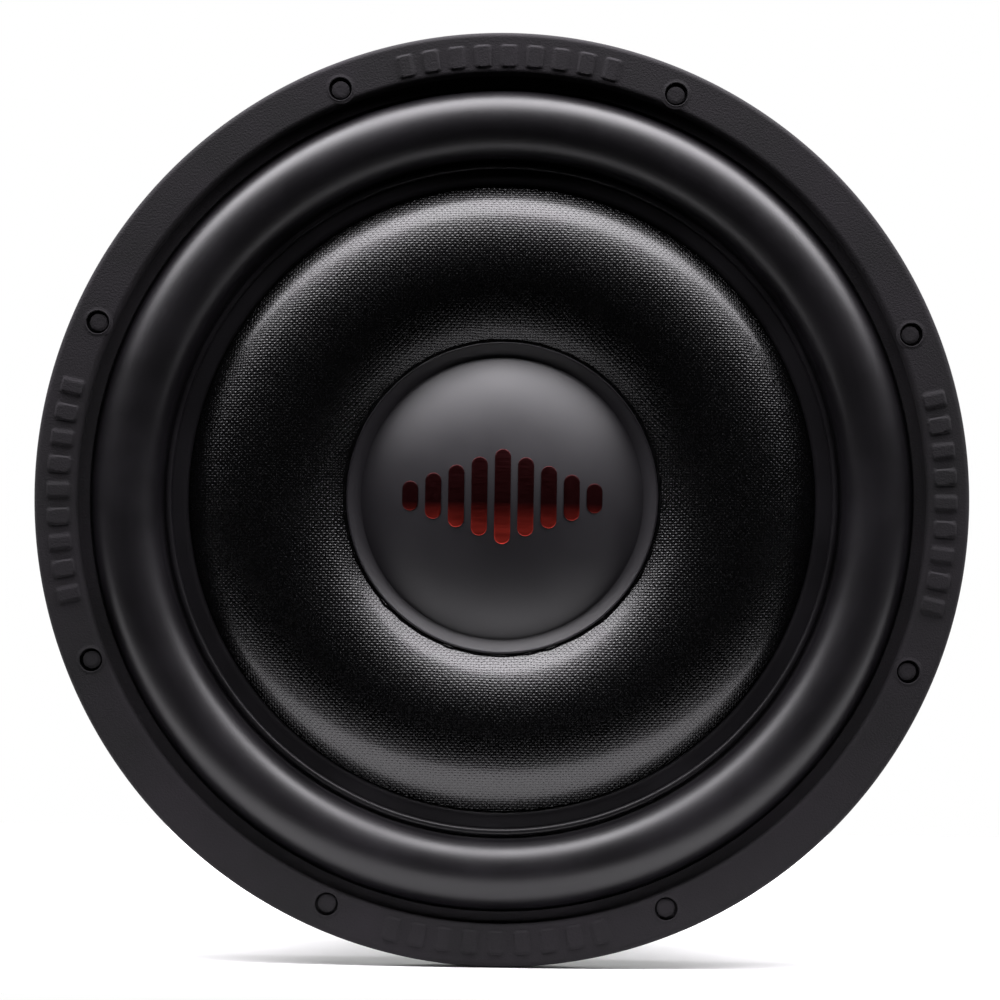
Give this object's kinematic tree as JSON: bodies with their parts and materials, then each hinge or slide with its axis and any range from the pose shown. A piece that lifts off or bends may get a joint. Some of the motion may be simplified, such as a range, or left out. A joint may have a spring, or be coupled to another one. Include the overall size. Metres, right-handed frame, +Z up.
{
  "type": "subwoofer driver",
  "caption": "Round bass driver for a car: moving woven cone and dome in a rubber-trimmed basket with a double magnet motor and push terminals.",
  "frame": {"origin": "centre of the mounting flange's rear face, on the driver's axis", "axes": "-Y is the way the cone faces, +Y runs back to the magnets, +X goes to the right-hand terminals seen from the front, +Z is up"},
  "size_m": [0.316, 0.1605, 0.316],
  "materials": {
    "cast_aluminium_black": "textured black powder coat on cast aluminium",
    "trim_rubber": "matt moulded black rubber",
    "surround_rubber": "satin moulded butyl rubber",
    "woven_fibre": "black plain-weave fibre, resin coated, glossy crowns",
    "dome_polymer": "satin dark grey moulded polypropylene",
    "red_foil": "brushed aluminium foil with a red lacquer",
    "aluminium_former": "thin rolled aluminium sheet",
    "copper_wire": "enamelled round copper wire, close wound",
    "kraft_collar": "varnished kraft paper",
    "spider_cloth": "resin-treated woven cotton and aramid, tan",
    "spacer_polymer": "black moulded plastic",
    "plated_steel": "bright zinc-plated mild steel",
    "black_steel": "black passivated mild steel",
    "ferrite": "sintered ferrite, ground faces",
    "boot_rubber": "satin black rubber",
    "terminal_polymer": "black glass-filled nylon",
    "button_red": "red moulded ABS",
    "button_black": "black moulded ABS",
    "spring_steel": "drawn spring wire",
    "contact_brass": "stamped brass, lightly tarnished",
    "copper_braid": "tinned copper tinsel braid over cotton"
  },
  "bodies": {
    "frame": {"basket": "cast_aluminium_black", "gasket_ring": "trim_rubber", "spider_spacer": "spacer_polymer", "top_plate": "plated_steel", "magnet_front": "ferrite", "magnet_rear": "ferrite", "yoke": "plated_steel", "shorting_ring": "aluminium_former", "vent_screen": "black_steel", "magnet_boot": "boot_rubber", "seat_bolts": "black_steel", "terminal_screws": "black_steel", "terminal_right": "terminal_polymer", "contact_right_positive": "contact_brass", "button_spring_right_positive": "spring_steel", "contact_right_negative": "contact_brass", "button_spring_right_negative": "spring_steel", "terminal_left": "terminal_polymer", "contact_left_positive": "contact_brass", "button_spring_left_positive": "spring_steel", "contact_left_negative": "contact_brass", "button_spring_left_negative": "spring_steel"},
    "moving_assembly": {"cone": "woven_fibre", "dust_cap": "dome_polymer", "cap_insert": "red_foil", "voice_coil_former": "aluminium_former", "winding_inner": "copper_wire", "winding_outer": "copper_wire", "former_collar": "kraft_collar", "surround": "surround_rubber", "spider_front": "spider_cloth", "spider_rear": "spider_cloth", "tinsel_lead_right_positive": "copper_braid", "tinsel_lead_right_negative": "copper_braid", "tinsel_lead_left_positive": "copper_braid", "tinsel_lead_left_negative": "copper_braid"},
    "button_right_positive": {"button_right_positive": "button_red"},
    "button_right_negative": {"button_right_negative": "button_black"},
    "button_left_positive": {"button_left_positive": "button_red"},
    "button_left_negative": {"button_left_negative": "button_black"}
  },
  "joints": [
    {"name": "cone_travel", "type": "slide", "parent": "frame", "child": "moving_assembly", "axis": [0, -1, 0], "range_m": [-0.016, 0.016], "stiffness_N_per_m": 6000, "deforming": ["surround", "spider_front", "spider_rear", "tinsel_lead_right_positive", "tinsel_lead_right_negative", "tinsel_lead_left_positive", "tinsel_lead_left_negative"]},
    {"name": "press_right_positive", "type": "slide", "parent": "frame", "child": "button_right_positive", "axis": [-1, 0, 0], "range_m": [0, 0.003], "stiffness_N_per_m": 500, "springref_m": -0.002, "deforming": ["button_spring_right_positive"]},
    {"name": "press_right_negative", "type": "slide", "parent": "frame", "child": "button_right_negative", "axis": [-1, 0, 0], "range_m": [0, 0.003], "stiffness_N_per_m": 500, "springref_m": -0.002, "deforming": ["button_spring_right_negative"]},
    {"name": "press_left_positive", "type": "slide", "parent": "frame", "child": "button_left_positive", "axis": [1, 0, 0], "range_m": [0, 0.003], "stiffness_N_per_m": 500, "springref_m": -0.002, "deforming": ["button_spring_left_positive"]},
    {"name": "press_left_negative", "type": "slide", "parent": "frame", "child": "button_left_negative", "axis": [1, 0, 0], "range_m": [0, 0.003], "stiffness_N_per_m": 500, "springref_m": -0.002, "deforming": ["button_spring_left_negative"]}
  ]
}
